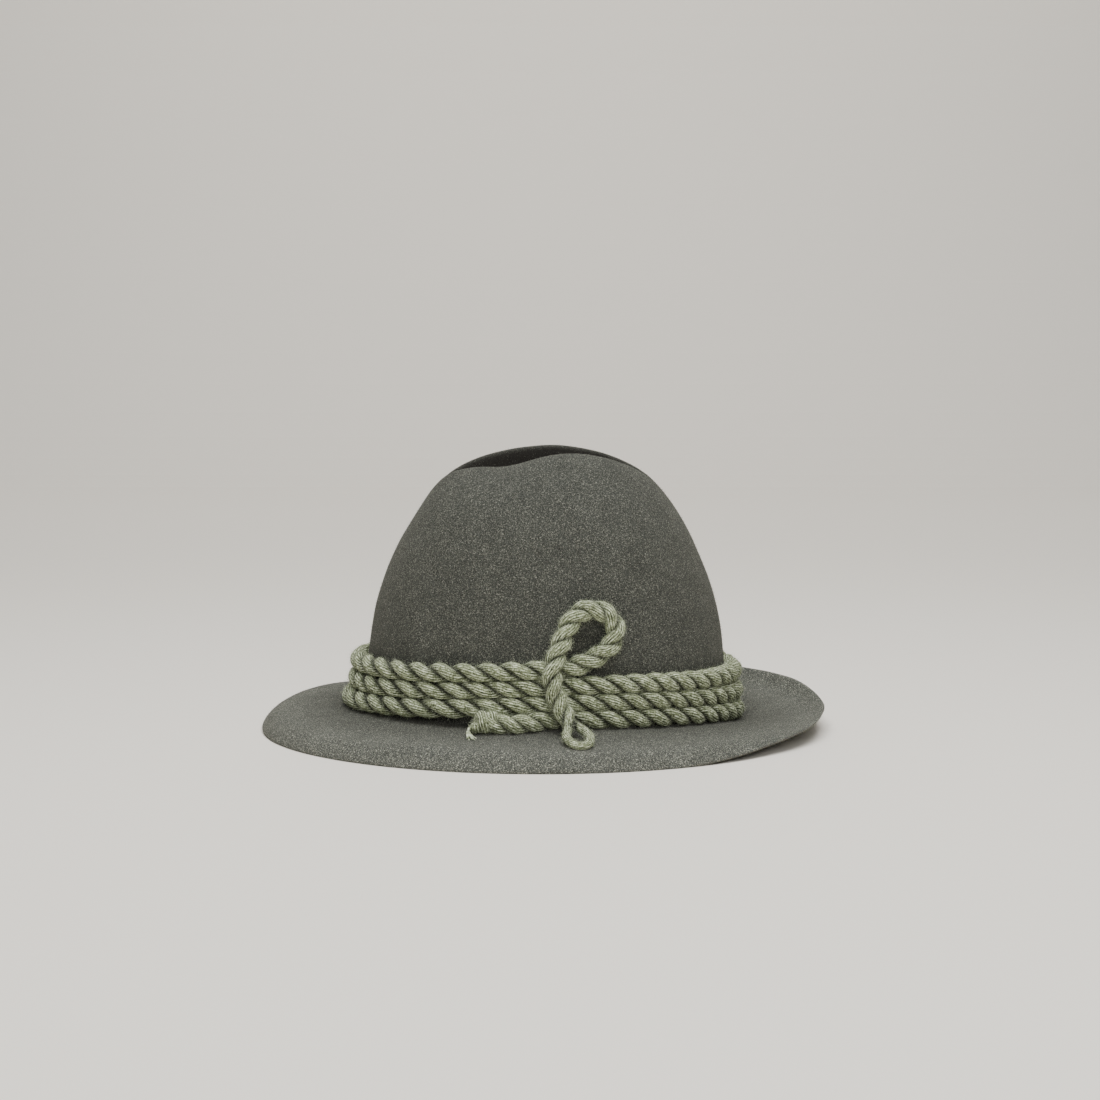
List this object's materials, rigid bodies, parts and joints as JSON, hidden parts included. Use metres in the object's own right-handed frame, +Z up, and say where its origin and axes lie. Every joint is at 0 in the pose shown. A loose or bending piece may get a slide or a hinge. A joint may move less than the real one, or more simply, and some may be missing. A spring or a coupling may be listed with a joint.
{
  "type": "felt hat with wool cord",
  "caption": "Soft wool-felt hat: a domed crown with a lengthwise crease, a medium brim, and a thick twisted wool cord wound round the crown and looped up on one side.",
  "frame": {"origin": "on the surface that the hat rests on, under the middle of the part's plan", "axes": "+X towards the back of the hat, -Y the wearer's left, where the cord is looped, +Z up"},
  "size_m": [0.3206, 0.274, 0.159],
  "materials": {
    "felt": "grey-green heather wool felt, short soft nap",
    "wool_cord": "grey-green two-ply wool cord, fuzzy"
  },
  "bodies": {
    "root": {"felt_body": "felt", "cord_winding": "wool_cord", "cord_loop": "wool_cord", "cord_tail": "wool_cord"}
  },
  "joints": []
}
